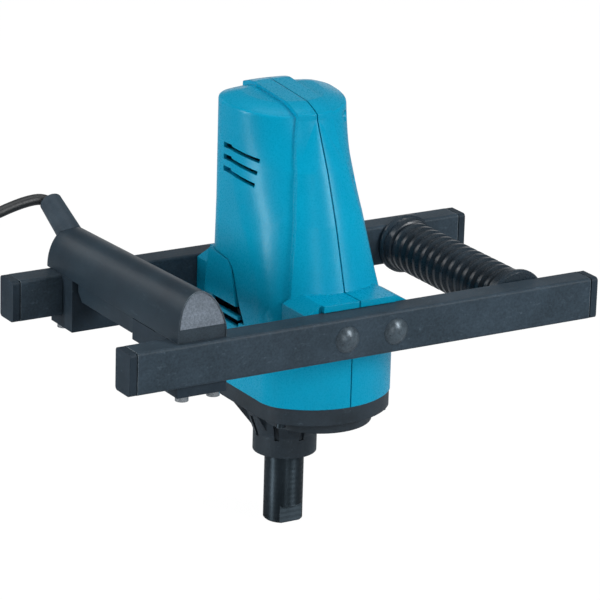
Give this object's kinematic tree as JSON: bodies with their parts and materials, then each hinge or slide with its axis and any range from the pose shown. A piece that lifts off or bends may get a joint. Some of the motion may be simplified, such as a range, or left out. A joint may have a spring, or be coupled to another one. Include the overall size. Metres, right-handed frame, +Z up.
{
  "type": "mixing drill",
  "caption": "Hand-held electric mixing drill: upright motor housing on a two-rail frame, switch handle on one side, ribbed grip on the other, threaded spindle below and a mains cord.",
  "frame": {"origin": "centre of the spindle's lower end face, at the mouth of its thread", "axes": "+Z up along the spindle, +X along the rails towards the plain grip, -Y the front rail"},
  "size_m": [0.5823, 0.2539, 0.3188],
  "materials": {
    "teal_housing": "fine moulded texture, satin",
    "rail_paint": "dark grey powder coat, satin",
    "black_plastic": "moulded, matt",
    "end_plate_plastic": "moulded, worn, matt",
    "grip_rubber": "ribbed, matt",
    "case_aluminium": "die cast, dark coated",
    "inner_aluminium": "die cast, bare",
    "zinc_steel": "zinc plated",
    "black_steel": "blackened",
    "gear_steel": "ground",
    "bearing_steel": "polished",
    "lamination_steel": "stacked sheet",
    "copper": "enamelled wire",
    "carbon": "pressed carbon, matt",
    "seal_rubber": "moulded, satin",
    "cord_rubber": "smooth sheath, satin",
    "plug_pin_brass": "nickel plated"
  },
  "bodies": {
    "frame": {"back_clamp": "black_plastic", "back_left_cap": "black_plastic", "back_rail": "rail_paint", "back_right_cap": "black_plastic", "brush_holders": "black_plastic", "carbon_brushes": "carbon", "clamp_screws": "zinc_steel", "cord_clamp": "black_plastic", "cord_coil": "cord_rubber", "cord_guard": "cord_rubber", "cord_tie": "cord_rubber", "fan_baffle": "black_plastic", "field_coils": "copper", "field_core": "lamination_steel", "front_clamp": "black_plastic", "front_left_cap": "black_plastic", "front_rail": "rail_paint", "front_right_cap": "black_plastic", "gear_case": "case_aluminium", "gear_case_screws": "black_steel", "gear_cover": "inner_aluminium", "gear_plate": "inner_aluminium", "grip_sleeve": "grip_rubber", "grip_tube": "zinc_steel", "handle_end_plate": "end_plate_plastic", "handle_shell": "black_plastic", "housing_left": "teal_housing", "housing_right": "teal_housing", "housing_screws": "zinc_steel", "layshaft_lower_bearing": "bearing_steel", "layshaft_upper_bearing": "bearing_steel", "motor_lower_bearing": "bearing_steel", "motor_upper_bearing": "bearing_steel", "oil_seal": "seal_rubber", "plug_body": "cord_rubber", "plug_pins": "plug_pin_brass", "power_cord": "cord_rubber", "rail_bolt_nuts": "zinc_steel", "rail_bolts": "black_steel", "retaining_ring": "zinc_steel", "spindle_lower_bearing": "bearing_steel", "spindle_upper_bearing": "bearing_steel", "switch_unit": "black_plastic", "trigger_pin": "zinc_steel", "trigger_spring": "zinc_steel"},
    "spindle": {"spindle": "black_steel", "spindle_gear": "gear_steel"},
    "layshaft": {"layshaft": "gear_steel", "layshaft_gear": "gear_steel"},
    "rotor": {"armature_shaft": "gear_steel", "armature_core": "lamination_steel", "armature_windings": "copper", "commutator": "copper", "cooling_fan": "black_plastic"},
    "trigger": {"trigger": "black_plastic"}
  },
  "joints": [
    {"name": "rotor_spin", "type": "hinge", "parent": "frame", "child": "rotor", "pos_m": [0, 0, 0.2], "axis": [0, 0, 1], "continuous": true},
    {"name": "layshaft_spin", "type": "hinge", "parent": "frame", "child": "layshaft", "pos_m": [0, -0.042, 0.12], "axis": [0, 0, 1], "continuous": true},
    {"name": "spindle_spin", "type": "hinge", "parent": "frame", "child": "spindle", "pos_m": [0, 0, 0.05], "axis": [0, 0, 1], "continuous": true},
    {"name": "trigger_squeeze", "type": "hinge", "parent": "frame", "child": "trigger", "pos_m": [-0.1305, 0.035, 0.191], "axis": [-1, 0, 0], "range_deg": [0, 5.5], "stiffness_Nm_per_rad": 1.5, "springref_deg": -5.73, "deforming": ["trigger_spring"]}
  ],
  "couplings": [
    {"joint": "layshaft_spin", "follows": "rotor_spin", "ratio": -0.16667},
    {"joint": "spindle_spin", "follows": "rotor_spin", "ratio": 0.066667}
  ]
}
